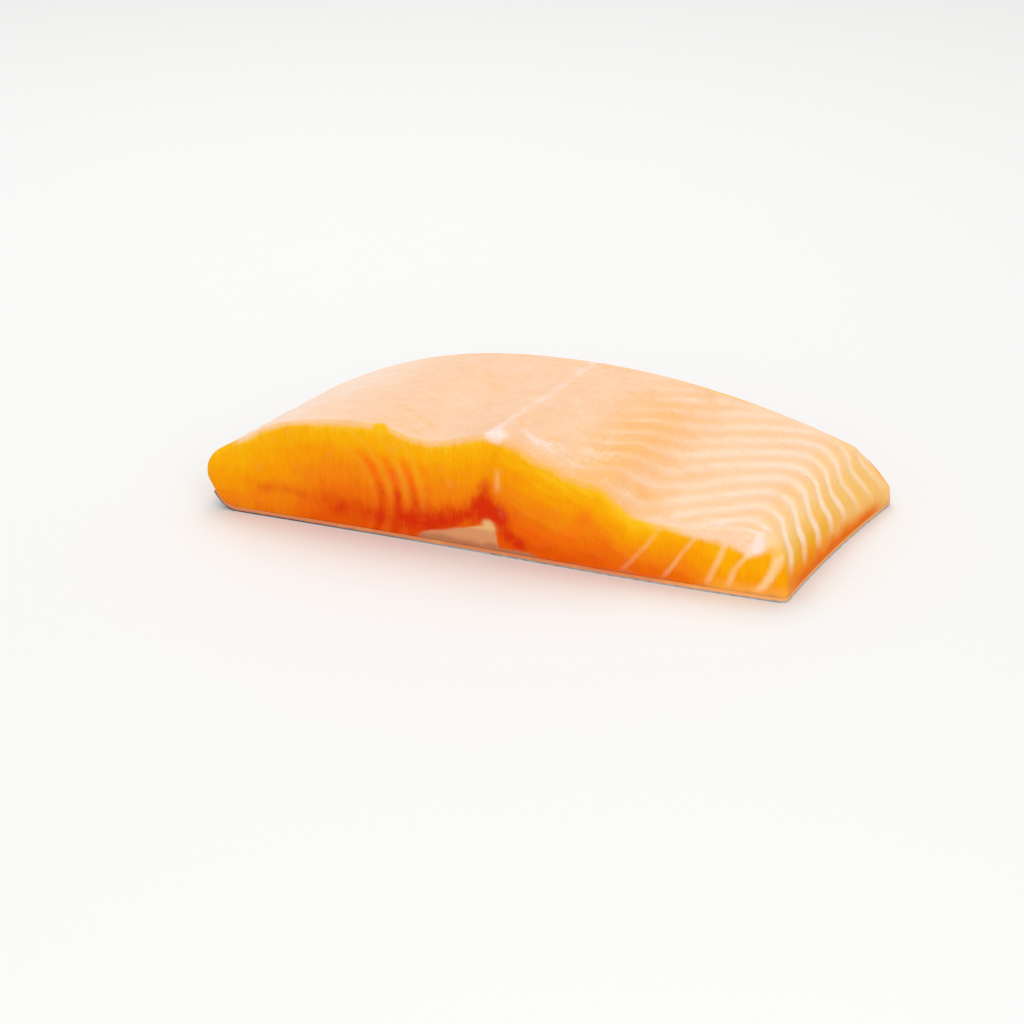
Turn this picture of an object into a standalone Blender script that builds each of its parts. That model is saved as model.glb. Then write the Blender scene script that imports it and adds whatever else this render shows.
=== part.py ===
"""Raw salmon fillet portion, modelled for Blender 4.5 (metres, +Z up).

A centre cut from one side of the fish, lying skin down. It is cut square across the fish at the
front and at the back. X runs along the front cut, from the thick back muscle on the left to the
thin belly edge on the right; Y runs from the front cut to the back cut. The origin is the middle
of the footprint, on the surface that the fillet lies on.

The flesh is one block. The skin is a thin layer under it that turns up round the thick edge.
"""

import math

import bmesh
import bpy
from mathutils import Matrix, Vector

# --- overall footprint -------------------------------------------------------------------------
HALF_LENGTH = 0.1081            # half the longest extent, along X
HALF_DEPTH = 0.0496             # half the distance between the cuts, along Y

# --- the two cuts, seen from above -------------------------------------------------------------
FRONT_BOW = 0.0028              # how far the front cut falls back beside its foremost point
FRONT_BOW_CENTRE = 0.0608       # X of that foremost point
FRONT_BOW_REACH = 0.070         # X distance over which the bow develops
BACK_BOW = 0.0050               # how far the back cut's ends come forward

# --- thick rounded edge on the left (front cut value, back cut value) ---------------------------
TIP_X = (-0.1057, -0.1081)      # outermost point of the edge
TIP_Z = (0.0135, 0.0078)        # height of that point
UNDER_X = (-0.0944, -0.0984)    # where the underside leaves the table
CREST_X = (-0.0996, -0.1064)    # where the rounded edge runs into the top

# --- blunt belly edge on the right --------------------------------------------------------------
WALL_X = (0.1007, 0.1084)       # foot of the wall
WALL_WAIST = 0.0016             # how far the foot is drawn in half way between the cuts
WALL_LEAN = (0.0015, 0.0004)    # how far the wall leans in before it rounds over
WALL_STRAIGHT = (0.0130, 0.0064)  # height where the wall starts to round over
WALL_ROUND = (0.0090, 0.0136)   # how far in from the foot the top begins
WALL_FLATNESS = (1.0, 1.8)      # of the rounding: 1 is an elliptic bend, 2 a flat slope
WALL_STRAIGHT_SHARE = 0.4       # share of the wall's rows below the rounding

# --- top of the front cut: the line from the thick edge to the belly ----------------------------
# thick lobe, hollow beside the backbone line, ridge on the line, shoulder, thin belly flap
FRONT_CREST = (
    (-0.0996, 0.0225),
    (-0.0882, 0.0294),
    (-0.0788, 0.0343),
    (-0.0702, 0.0367),
    (-0.0612, 0.0383),
    (-0.0508, 0.0393),
    (-0.0392, 0.0389),
    (-0.0296, 0.0367),
    (-0.0222, 0.0365),
    (-0.0165, 0.0377),
    (-0.0066, 0.0408),
    (0.0015, 0.0428),
    (0.0092, 0.0384),
    (0.0188, 0.0345),
    (0.0286, 0.0315),
    (0.0371, 0.0299),
    (0.0428, 0.0253),
    (0.0478, 0.0212),
    (0.0538, 0.0202),
    (0.0631, 0.0205),
    (0.0845, 0.0223),
    (0.0928, 0.0220),
)

# --- top of the back cut: a low dome ------------------------------------------------------------
BACK_HEIGHT = 0.0347
BACK_CREST_X = -0.0062
BACK_LEFT_REACH = 0.1143        # where the dome's left half would meet the table
BACK_LEFT_POWER = 2.52          # fullness of that half
BACK_RIGHT_REACH = 0.1500
BACK_RIGHT_POWER = 1.92
CREST_EASE = 0.2                # 0: the top runs straight from cut to cut, 1: fully eased

# --- skin ---------------------------------------------------------------------------------------
SKIN_THICKNESS = 0.0014
SKIN_EDGE_THICKNESS = 0.0007    # where it thins out on the rounded edge
GAP = 0.0003                    # clearance between skin and flesh
SKIN_TOP_ANGLE = math.radians(-35)   # how far up the rounded edge it reaches, 0 is the tip
SKIN_FADE_ANGLE = math.radians(28)   # above that the flesh comes out flush with it

# --- rims ---------------------------------------------------------------------------------------
CORNER_ROUND = 0.0023           # upright corners between the cuts and the belly wall
RIM_ROUND = 0.0012              # rims of the cuts along the top and the thick edge
RIM_ROWS = (0.0004, 0.0012, 0.0035)  # rows that follow these roundings, measured from a cut

# --- how finely the blocks are divided ----------------------------------------------------------
ROWS_ACROSS = 46
ROWS_DEEP = 14                  # besides the rim rows
ROWS_HIGH = 10
END_CROWDING = 0.35             # rows lie closer together towards the ends
SKIN_TURN_SHARE = 7 / ROWS_ACROSS   # share of the skin's rows on the rounded edge

# --- finishes: colour, roughness, subsurface weight ---------------------------------------------
FLESH_FINISH = ((0.86, 0.36, 0.09), 0.35, 0.1)
SKIN_FINISH = ((0.42, 0.43, 0.44), 0.3, 0.0)


def mix(pair, t):
    """Value between the front cut's and the back cut's, for t from 0 to 1."""
    return pair[0] + (pair[1] - pair[0]) * t


def smooth(t):
    t = min(max(t, 0.0), 1.0)
    return t * t * (3.0 - 2.0 * t)


def front_y(x):
    away = (x - FRONT_BOW_CENTRE) / FRONT_BOW_REACH
    return -HALF_DEPTH + FRONT_BOW * (1.0 - math.exp(-away * away))


def back_y(x):
    return HALF_DEPTH - BACK_BOW * (x / HALF_LENGTH) ** 2


def drawn_in(t, radius):
    """How far a rim rounded to this radius has drawn in at the share t from front to back."""
    left = radius - min(t, 1.0 - t) * 2.0 * HALF_DEPTH
    return radius - math.sqrt(radius**2 - left**2) if left > 0.0 else 0.0


def tip_x(t):
    return mix(TIP_X, t) + drawn_in(t, RIM_ROUND)


def wall_x(t):
    waist = 4.0 * WALL_WAIST * t * (1.0 - t)
    return mix(WALL_X, t) - waist - drawn_in(t, CORNER_ROUND)


def depth_y(x, t):
    """Y at the share t of the way from the front cut to the back cut."""
    return front_y(x) + (back_y(x) - front_y(x)) * t


def front_crest(x):
    """Height of the front cut's top line: a smooth curve through FRONT_CREST."""
    points = FRONT_CREST
    last = len(points) - 2
    i = 0
    while i < last and x > points[i + 1][0]:
        i += 1

    def slope(k):
        return (points[k + 1][1] - points[k][1]) / (points[k + 1][0] - points[k][0])

    here = slope(i)
    start = here if i == 0 else 0.5 * (slope(i - 1) + here)
    end = here if i == last else 0.5 * (here + slope(i + 1))
    run = points[i + 1][0] - points[i][0]
    t = (x - points[i][0]) / run
    t2 = t * t
    t3 = t2 * t
    return (
        (2.0 * t3 - 3.0 * t2 + 1.0) * points[i][1]
        + (t3 - 2.0 * t2 + t) * run * start
        + (3.0 * t2 - 2.0 * t3) * points[i + 1][1]
        + (t3 - t2) * run * end
    )


def back_crest(x):
    if x < BACK_CREST_X:
        fall = ((BACK_CREST_X - x) / BACK_LEFT_REACH) ** BACK_LEFT_POWER
    else:
        fall = ((x - BACK_CREST_X) / BACK_RIGHT_REACH) ** BACK_RIGHT_POWER
    return BACK_HEIGHT * (1.0 - fall)


def crest_z(x, t):
    """Height of the top at X, at the share t from front to back."""
    eased = CREST_EASE * smooth(t) + (1.0 - CREST_EASE) * t
    height = front_crest(x) + (back_crest(x) - front_crest(x)) * eased
    return height - drawn_in(t, RIM_ROUND)


def under_arc(angle, t, inset):
    """Point of the rounded edge's lower quarter, moved in from the skin's outside by inset.

    The angle runs from -90 degrees, on the table, to 0 at the tip.
    """
    reach = mix(UNDER_X, t) - tip_x(t)
    rise = mix(TIP_Z, t)
    normal = Vector((-math.cos(angle) / reach, math.sin(angle) / rise)).normalized()
    x = mix(UNDER_X, t) - reach * math.cos(angle) - normal.x * inset
    z = rise + rise * math.sin(angle) - normal.y * inset
    return x, z


def flesh_inset(angle):
    """Room for the skin and its clearance, which closes above the skin's upper edge."""
    above = (angle - SKIN_TOP_ANGLE) / SKIN_FADE_ANGLE
    edge = (angle + math.pi / 2) / (SKIN_TOP_ANGLE + math.pi / 2)
    full = SKIN_THICKNESS + (SKIN_EDGE_THICKNESS - SKIN_THICKNESS) * smooth(edge) + GAP
    return full * (1.0 - smooth(above))


def top_side(u, t):
    start = mix(CREST_X, t)
    end = wall_x(t) - mix(WALL_ROUND, t)
    x = start + (end - start) * u
    return x, crest_z(x, t)


def bottom_side(u, t):
    start, z = under_arc(-math.pi / 2, t, flesh_inset(-math.pi / 2))
    return start + (wall_x(t) - start) * u, z


def left_side(w, t):
    """Rounded edge: the lower quarter up to the tip, then a bend into the top."""
    if w < 0.5:
        angle = (2.0 * w - 1.0) * math.pi / 2
        return under_arc(angle, t, flesh_inset(angle))
    s = 2.0 * w - 1.0
    tip = (tip_x(t), mix(TIP_Z, t))
    end = top_side(0.0, t)
    slope = (crest_z(end[0] + 0.001, t) - end[1]) / 0.001
    bend = (tip[0], max(end[1] + slope * (tip[0] - end[0]), tip[1] + 0.001))
    return tuple(
        (1.0 - s) ** 2 * tip[k] + 2.0 * s * (1.0 - s) * bend[k] + s * s * end[k] for k in (0, 1)
    )


def right_side(w, t):
    """Belly wall: nearly upright, then rounded over into the top."""
    foot = bottom_side(1.0, t)
    shoulder = wall_x(t) - mix(WALL_LEAN, t)
    straight = mix(WALL_STRAIGHT, t)
    if w < WALL_STRAIGHT_SHARE:
        s = w / WALL_STRAIGHT_SHARE
        return foot[0] + (shoulder - foot[0]) * s, foot[1] + (straight - foot[1]) * s
    angle = (w - WALL_STRAIGHT_SHARE) / (1.0 - WALL_STRAIGHT_SHARE) * math.pi / 2
    end = top_side(1.0, t)
    flatness = mix(WALL_FLATNESS, t)
    x = end[0] + (shoulder - end[0]) * abs(math.cos(angle)) ** flatness
    z = straight + (end[1] - straight) * math.sin(angle) ** flatness
    return x, z


def flesh_point(u, t, w):
    """Place of the block's point (u, t, w): the four sides of each cut, blended across it."""
    top = top_side(u, t)
    bottom = bottom_side(u, t)
    left = left_side(w, t)
    right = right_side(w, t)
    corners = (bottom_side(0.0, t), bottom_side(1.0, t), top_side(0.0, t), top_side(1.0, t))
    place = []
    for k in (0, 1):
        sides = (1.0 - w) * bottom[k] + w * top[k] + (1.0 - u) * left[k] + u * right[k]
        low = (1.0 - u) * corners[0][k] + u * corners[1][k]
        high = (1.0 - u) * corners[2][k] + u * corners[3][k]
        place.append(sides - (1.0 - w) * low - w * high)
    x, z = place
    return Vector((x, depth_y(x, t), z))


def skin_point(u, t, w):
    """Place of the skin's point: u runs from the thick edge to the belly, w from outside in."""
    if u < SKIN_TURN_SHARE:
        share = u / SKIN_TURN_SHARE
        angle = SKIN_TOP_ANGLE + (-math.pi / 2 - SKIN_TOP_ANGLE) * share
        thickness = SKIN_EDGE_THICKNESS + (SKIN_THICKNESS - SKIN_EDGE_THICKNESS) * smooth(share)
        x, z = under_arc(angle, t, thickness * w)
    else:
        share = (u - SKIN_TURN_SHARE) / (1.0 - SKIN_TURN_SHARE)
        start = mix(UNDER_X, t)
        x = start + (wall_x(t) - start) * share
        z = SKIN_THICKNESS * w
    return Vector((x, depth_y(x, t), z))


def even(count):
    """Places between 0 and 1 that divide it into equal rows."""
    return [i / count for i in range(1, count)]


def crowded(count):
    """The same number of places, closer together towards both ends."""
    return [s - END_CROWDING * math.sin(2.0 * math.pi * s) / (2.0 * math.pi) for s in even(count)]


def depth_rows():
    """Places of the rows from the front cut to the back cut, the rim rows included."""
    rims = [place / (2.0 * HALF_DEPTH) for place in RIM_ROWS]
    span = 1.0 - 2.0 * rims[-1]
    between = [rims[-1] + span * place for place in even(ROWS_DEEP)]
    return rims + between + [1.0 - place for place in reversed(rims)]


def divided_block(places_by_axis):
    """A unit cube from 0 to 1, cut across each axis at the given places."""
    mesh = bmesh.new()
    bmesh.ops.create_cube(mesh, size=1.0, matrix=Matrix.Translation((0.5, 0.5, 0.5)))
    for axis, places in enumerate(places_by_axis):
        normal = Vector((0.0, 0.0, 0.0))
        normal[axis] = 1.0
        for place in places:
            geometry = mesh.verts[:] + mesh.edges[:] + mesh.faces[:]
            bmesh.ops.bisect_plane(mesh, geom=geometry, plane_co=normal * place, plane_no=normal)
    return mesh


def add_object(name, block, material, collection):
    mesh = bpy.data.meshes.new(name)
    block.to_mesh(mesh)
    block.free()
    mesh.materials.append(material)
    mesh.shade_smooth()
    mesh.set_sharp_from_angle(angle=math.radians(50))
    collection.objects.link(bpy.data.objects.new(name, mesh))


def finish(name, colour, roughness, subsurface):
    material = bpy.data.materials.new(name)
    material.use_nodes = True
    shader = material.node_tree.nodes["Principled BSDF"]
    shader.inputs["Base Color"].default_value = (*colour, 1.0)
    shader.inputs["Roughness"].default_value = roughness
    shader.inputs["Metallic"].default_value = 0.0
    shader.inputs["Subsurface Weight"].default_value = subsurface
    return material


def build_flesh(collection):
    block = divided_block((crowded(ROWS_ACROSS), depth_rows(), even(ROWS_HIGH)))
    for vertex in block.verts:
        vertex.co = flesh_point(*vertex.co)
    add_object("flesh", block, finish("raw salmon", *FLESH_FINISH), collection)


def build_skin(collection):
    block = divided_block((even(ROWS_ACROSS), depth_rows(), []))
    for vertex in block.verts:
        vertex.co = skin_point(*vertex.co)
    add_object("skin", block, finish("fish skin", *SKIN_FINISH), collection)


def main():
    for item in list(bpy.data.objects):
        bpy.data.objects.remove(item, do_unlink=True)
    fillet = bpy.data.collections.new("salmon fillet")
    bpy.context.scene.collection.children.link(fillet)
    build_flesh(fillet)
    build_skin(fillet)


main()
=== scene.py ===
"""Looks of a raw salmon fillet: its flesh with the muscle layers, its skin, and a small studio.

The flesh and the skin are each modelled from a block that takes the shape of the CAD piece it
stands for. The flesh's muscle layers are worked out on its surface, which gives the relief of the
mesh and the pale lines of the material alike.
"""

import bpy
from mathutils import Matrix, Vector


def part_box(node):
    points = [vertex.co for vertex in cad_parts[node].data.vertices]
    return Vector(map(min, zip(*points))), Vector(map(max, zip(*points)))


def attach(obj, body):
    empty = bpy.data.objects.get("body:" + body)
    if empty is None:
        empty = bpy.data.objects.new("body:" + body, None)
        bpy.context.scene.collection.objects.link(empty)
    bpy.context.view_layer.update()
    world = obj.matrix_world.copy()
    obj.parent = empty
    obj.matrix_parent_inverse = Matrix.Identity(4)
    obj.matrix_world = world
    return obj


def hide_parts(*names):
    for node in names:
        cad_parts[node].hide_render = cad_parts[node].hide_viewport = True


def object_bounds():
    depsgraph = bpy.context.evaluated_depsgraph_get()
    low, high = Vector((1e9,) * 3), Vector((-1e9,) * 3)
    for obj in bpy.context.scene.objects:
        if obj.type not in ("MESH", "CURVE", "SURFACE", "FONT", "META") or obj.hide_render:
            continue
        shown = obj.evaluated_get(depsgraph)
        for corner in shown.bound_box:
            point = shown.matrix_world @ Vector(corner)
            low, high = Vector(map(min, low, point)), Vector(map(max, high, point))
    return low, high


bl_info = {
    "name": "Salmon fillet looks",
    "version": (1, 0, 0),
    "blender": (4, 5, 0),
    "location": "3D View > Sidebar > Fillet",
    "description": "Models and colours a raw salmon fillet round its fixed frame",
    "category": "Mesh",
}

import math

import bpy
import numpy as np
from bpy.props import FloatProperty, FloatVectorProperty, PointerProperty
from mathutils import Vector, noise

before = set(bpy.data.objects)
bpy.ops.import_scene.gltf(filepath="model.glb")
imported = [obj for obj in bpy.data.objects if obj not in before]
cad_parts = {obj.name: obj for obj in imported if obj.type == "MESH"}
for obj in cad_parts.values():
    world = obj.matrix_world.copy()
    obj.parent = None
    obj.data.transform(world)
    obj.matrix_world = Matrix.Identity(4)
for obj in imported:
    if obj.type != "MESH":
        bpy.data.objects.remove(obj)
CAD_LOW, CAD_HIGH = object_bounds()

MM = 0.001

# --- sections of the fillet, as in its CAD model (metres; pairs are front cut, back cut) ---------
HALF_LENGTH = 0.1081
HALF_DEPTH = 0.0496
FRONT_BOW = 0.0028
FRONT_BOW_CENTRE = 0.0608
FRONT_BOW_REACH = 0.070
BACK_BOW = 0.0050
TIP_X = (-0.1057, -0.1081)
TIP_Z = (0.0135, 0.0078)
UNDER_X = (-0.0944, -0.0984)
CREST_X = (-0.0996, -0.1064)
WALL_X = (0.1007, 0.1084)
WALL_WAIST = 0.0016
WALL_LEAN = (0.0015, 0.0004)
WALL_STRAIGHT = (0.0130, 0.0064)
WALL_ROUND = (0.0090, 0.0136)
WALL_FLATNESS = (1.0, 1.8)
WALL_STRAIGHT_SHARE = 0.4
FRONT_CREST = (
    (-0.0996, 0.0225),
    (-0.0882, 0.0294),
    (-0.0788, 0.0343),
    (-0.0702, 0.0367),
    (-0.0612, 0.0383),
    (-0.0508, 0.0393),
    (-0.0392, 0.0389),
    (-0.0296, 0.0367),
    (-0.0222, 0.0365),
    (-0.0165, 0.0377),
    (-0.0066, 0.0408),
    (0.0015, 0.0428),
    (0.0092, 0.0384),
    (0.0188, 0.0345),
    (0.0286, 0.0315),
    (0.0371, 0.0299),
    (0.0428, 0.0253),
    (0.0478, 0.0212),
    (0.0538, 0.0202),
    (0.0631, 0.0205),
    (0.0845, 0.0223),
    (0.0928, 0.0220),
)
BACK_HEIGHT = 0.0347
BACK_CREST_X = -0.0062
BACK_LEFT_REACH = 0.1143
BACK_LEFT_POWER = 2.52
BACK_RIGHT_REACH = 0.1500
BACK_RIGHT_POWER = 1.92
CREST_EASE = 0.2
SKIN_THICKNESS = 0.0014
SKIN_EDGE_THICKNESS = 0.0007
GAP = 0.0003
SKIN_FILL = 0.00024             # how much of that gap the shown skin fills
LEAST_BEND = 0.0003             # how far above the tip the thick edge's bend lies at least
SKIN_TOP_ANGLE = math.radians(-35)
SKIN_FADE_ANGLE = math.radians(28)
SKIN_TURN_SHARE = 0.15
CORNER_ROUND = 0.0023
RIM_ROUND = 0.0012

# --- how finely the pieces are divided -----------------------------------------------------------
FLESH_CELLS = (36, 16, 7)       # coarse cells across, deep and high
SKIN_CELLS = (30, 14, 1)
CELL_CUTS = 7                   # each cell is divided this many times more
FINEST_ROW = 0.30               # rows beside the cuts, as a share of a plain one
FINE_REACH = 0.05               # how far the finer rows reach, as a share of the depth
SIDE_FADES = (6, 10)            # how soon a cut's grid forgets the bulge of its left and right ends
EASING_ROUNDS = 40              # rounds that even out a cut's grid

# --- the muscle layers' lines on the outside, in millimetres -------------------------------------
LAYER_DEPTHS = (12.5, 10.8)     # from one pale line to the next along Y: front half, back half
LAYER_CHANGE = -46.8            # where the spacing changes, before the lines are bent
CHEVRON_RISE = 0.72             # how steeply the lines run back from the midline
SHOULDER_AT = 84.0              # distance from the midline where they turn forward again
SHOULDER_SOFT = 3.0             # how softly they turn
SHOULDER_DROP = 18.0            # how far they come forward down the side
SHOULDER_REACH = 21.0           # over this length of the side
MIDLINE_X = -1.2
PINK_HIGHLIGHTS = (                  # X, Y, radius and strength of pale pinkish spots on the top: painted highlights
    (0.6, -47.5, 3.2, 1.3),
    (8.0, -35.0, 5.0, 0.40),
    (16.0, -34.5, 5.0, 0.36),
    (25.5, -37.5, 5.0, 0.32),
    (74.0, -43.0, 6.0, 0.30),
)
CORNER_HIGHLIGHT = (89.5, 18.5, 4.5, 0.9)    # X, height, radius and strength of a painted highlight on the front corner by the front cut

# --- the cuts' rims, in millimetres --------------------------------------------------------------
# The outside comes down over the right rim, and the cut goes up over the left one.
LIP = 3.0                       # how far
LIP_SIDES = (60.0, 18.0, -100.0, 8.0)   # X where each change starts, and over which length
LIP_SPOTS = (                   # X, half width and depth of a few more; below 0 the cut goes up
    (88.5, 5.0, 3.5),
    (0.6, 3.5, 1.8),
    (49.0, 11.0, -1.8),
)
TUFT = (-40.7, 2.4, 3.2)        # X, half width and depth of cut flesh on the front cut's rim

# --- marks on the cuts, in millimetres -----------------------------------------------------------
DORSAL_CENTRE = (-65.0, 0.30)   # X of the left rings' centre, its height as a share of the cut's
DORSAL_SPACING = 6.0            # from one ring to the next
DORSAL_FIRST = 21.7             # radius of one of them
BELLY_CENTRE = (17.0, 0.77)
BELLY_SPACING = 13.2
BELLY_FIRST = 10.5
STRIPES = (                     # pale: X at the foot, slant, bend, half width and strength
    (42.5, 0.97, -0.008, 1.0, 0.20),
    (57.7, 0.68, 0.000, 0.9, 0.30),
    (73.2, 0.40, 0.000, 1.1, 0.42),
    (81.4, -0.10, 0.036, 1.1, 0.40),
    (88.5, 1.05, -0.031, 1.6, 0.80),
)
SEPTUM_X = 1.5                  # upright line between the two lobes of a cut
LOBE_SLOPE = math.radians(22)   # how steeply the right lobe's streaks fall to the belly
FAT_ENDS = (-35.0, -1.0)        # wedge of pale fat: X from and to
FAT_HEIGHT = 2.0                # its height at its left end
FAT_SLOPE = 0.238               # how steeply its top rises to the right
FAT_LINE = 2.7                  # height of the thin line that goes on to the right
KNOB = (-1.8, 9.4, 2.5)         # X, height and radius of the wedge's end
BAND_ENDS = (-36.0, 2.0, 8.0)   # red band above the fat: X from and to, softness of its ends
BAND_RISE = (-26.0, 26.0)       # from this X on it rises, over this length
BAND_HEIGHTS = (7.0, 15.0)      # from the first of these heights to the second
BAND_REACH = (5.4, 4.6)         # how far it reaches up and down
BLOOD_BANDS = (                 # X from and to, softness; height, half height, strength
    (-62.0, -36.0, 14.0, 8.0, 4.5, 0.60),
    (-90.0, -60.0, 16.0, 10.8, 3.0, 0.42),
    (8.0, 66.0, 14.0, 4.0, 3.5, 0.22),
)
BLOOD_STREAKS = (               # X at the foot, slant, half width; height, half height, strength
    (-7.8, 0.2, 3.2, 20.0, 8.0, 0.62),
    (5.0, 0.0, 4.0, 11.0, 7.0, 0.45),
)
BLOOD_SPOTS = (                 # X, height, radius and strength
    (2.2, 14.3, 2.4, 0.7),
    (9.3, 5.7, 2.8, 0.7),
    (5.2, 7.4, 2.6, 0.4),
)

# --- relief of the flesh, in millimetres ---------------------------------------------------------
RING_RELIEF = 0.07
STRIPE_RELIEF = 0.35
CUT_RELIEF = 0.22
LINE_RELIEF = 0.10              # of the layers' lines on the outside
BELLY_RELIEF = 0.22             # added to theirs towards the belly
TOP_RELIEF = 0.25
LUMP_RELIEF = 0.12
MIDLINE_RELIEF = 0.45
STILL_BELOW = 1.9               # no relief below this height, where the skin is close

# --- how strongly the flesh's marks show, from 0 to 1 --------------------------------------------
CORNER_SHARES = (0.8, 0.6)      # paler foot at the belly end: on the cuts, on the wall
STREAK_SHARE = 0.74             # red streaks of the left lobe
ARC_SHARE = 0.30                # darker arcs of the right lobe
RING_SHARE = 0.03
SEPTUM_SHARE = 0.28
FAT_SHARE = 0.9
RIGHT_LINE_SHARE = 0.24         # thin lines on the right half of the top
LEFT_LINE_SHARE = 0.14
BELLY_LINE_SHARE = 0.30         # added where they near the belly wall
WALL_LINE_SHARE = 0.86
WALL_LINE_FADE = 0.30           # how much of that is lost towards the back cut
GAP_SHARE = 0.30                # darker flesh between two thin lines
OUTSIDE_GLOSS = 0.34            # specular level
GLOSS_LOSS = 0.32               # how much of it is lost on the cuts and the wall

# --- fish scales, in millimetres -----------------------------------------------------------------
SCALE_WIDTH = 4.6
SCALE_LENGTH = 2.7              # from row to row
SCALE_RADIUS = 3.3
SCALE_RELIEF = 0.12
SCALE_WAVER = 0.4               # how far the rows of scales wander
SCALE_MARGIN = (0.02, 0.98, 0.03)   # share of the depth where relief starts, ends; softness

# --- studio, in metres ---------------------------------------------------------------------------
FLOOR_SIZE = 12.0
LIGHT_SIZE = 0.8
KEY_PLACE = (-0.25, 0.35, 0.9)
FILL_PLACE = (0.5, -0.9, 0.5)
TARGET_SHIFT = (-0.0083, -0.0118)   # what the camera looks at, from the fillet's centre

# --- places of the block's six sides on its picture: left, bottom, width, height -----------------
PICTURE = {
    "top": (0.004, 0.551, 0.992, 0.445),
    "front": (0.004, 0.357, 0.992, 0.190),
    "back": (0.004, 0.168, 0.992, 0.185),
    "right": (0.004, 0.004, 0.440, 0.158),
    "left": (0.450, 0.004, 0.430, 0.158),
    "bottom": (0.886, 0.004, 0.110, 0.158),
}


# ================================ sections ======================================================


def mix(pair, t):
    return pair[0] + (pair[1] - pair[0]) * t


def smooth(t):
    t = np.clip(t, 0.0, 1.0)
    return t * t * (3.0 - 2.0 * t)


def bell(x, centre, width):
    """1 at the centre, falling off over the width."""
    return np.exp(-(((x - centre) / width) ** 2))


def front_y(x):
    return -HALF_DEPTH + FRONT_BOW * (1.0 - bell(x, FRONT_BOW_CENTRE, FRONT_BOW_REACH))


def back_y(x):
    return HALF_DEPTH - BACK_BOW * (x / HALF_LENGTH) ** 2


def drawn_in(t, radius):
    """How far a rim rounded to this radius has drawn in at the share t from front to back."""
    left = np.maximum(radius - np.minimum(t, 1.0 - t) * 2.0 * HALF_DEPTH, 0.0)
    return radius - np.sqrt(radius**2 - left**2)


def tip_x(t):
    return mix(TIP_X, t) + drawn_in(t, RIM_ROUND)


def wall_x(t):
    waist = 4.0 * WALL_WAIST * t * (1.0 - t)
    return mix(WALL_X, t) - waist - drawn_in(t, CORNER_ROUND)


def front_crest(x):
    """Height of the front cut's top line: a smooth curve through FRONT_CREST."""
    at, height = np.array(FRONT_CREST).T
    run = np.diff(at)
    slopes = np.diff(height) / run
    tangents = np.concatenate((slopes[:1], (slopes[:-1] + slopes[1:]) / 2, slopes[-1:]))
    i = np.clip(np.searchsorted(at, x) - 1, 0, len(run) - 1)
    t = (x - at[i]) / run[i]
    t2, t3 = t**2, t**3
    return (
        (2.0 * t3 - 3.0 * t2 + 1.0) * height[i]
        + (t3 - 2.0 * t2 + t) * run[i] * tangents[i]
        + (3.0 * t2 - 2.0 * t3) * height[i + 1]
        + (t3 - t2) * run[i] * tangents[i + 1]
    )


def back_crest(x):
    left = np.maximum(BACK_CREST_X - x, 0.0) / BACK_LEFT_REACH
    right = np.maximum(x - BACK_CREST_X, 0.0) / BACK_RIGHT_REACH
    return BACK_HEIGHT * (1.0 - left**BACK_LEFT_POWER - right**BACK_RIGHT_POWER)


def crest_z(x, t):
    eased = CREST_EASE * smooth(t) + (1.0 - CREST_EASE) * t
    height = front_crest(x) + (back_crest(x) - front_crest(x)) * eased
    return height - drawn_in(t, RIM_ROUND)


def under_arc(angle, t, inset):
    """Points of the rounded edge's lower quarter, moved in from the skin's outside by inset."""
    reach = mix(UNDER_X, t) - tip_x(t)
    rise = mix(TIP_Z, t)
    across, up = -np.cos(angle) / reach, np.sin(angle) / rise
    length = np.hypot(across, up)
    x = mix(UNDER_X, t) - reach * np.cos(angle) - across / length * inset
    z = rise + rise * np.sin(angle) - up / length * inset
    return x, z


def flesh_inset(angle):
    """Room for the skin and its clearance, which closes above the skin's upper edge."""
    above = (angle - SKIN_TOP_ANGLE) / SKIN_FADE_ANGLE
    edge = (angle + math.pi / 2) / (SKIN_TOP_ANGLE + math.pi / 2)
    full = SKIN_THICKNESS + (SKIN_EDGE_THICKNESS - SKIN_THICKNESS) * smooth(edge) + GAP
    return full * (1.0 - smooth(above))


def top_side(u, t):
    start = mix(CREST_X, t)
    x = start + (wall_x(t) - mix(WALL_ROUND, t) - start) * u
    return x, crest_z(x, t)


def bottom_side(u, t):
    start, z = under_arc(-math.pi / 2, t, flesh_inset(-math.pi / 2))
    return start + (wall_x(t) - start) * u, z


def left_side(w, t):
    """Rounded edge: the lower quarter up to the tip, then a bend into the top."""
    angle = (2.0 * np.minimum(w, 0.5) - 1.0) * math.pi / 2
    lower = under_arc(angle, t, flesh_inset(angle))
    s = np.maximum(2.0 * w - 1.0, 0.0)
    tip = (tip_x(t), mix(TIP_Z, t))
    end = top_side(0.0, t)
    slope = (crest_z(end[0] + MM, t) - end[1]) / MM
    bend = (tip[0], np.maximum(end[1] + slope * (tip[0] - end[0]), tip[1] + LEAST_BEND))
    upper = [
        (1.0 - s) ** 2 * tip[k] + 2.0 * s * (1.0 - s) * bend[k] + s * s * end[k] for k in (0, 1)
    ]
    return [np.where(w < 0.5, lower[k], upper[k]) for k in (0, 1)]


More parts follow.
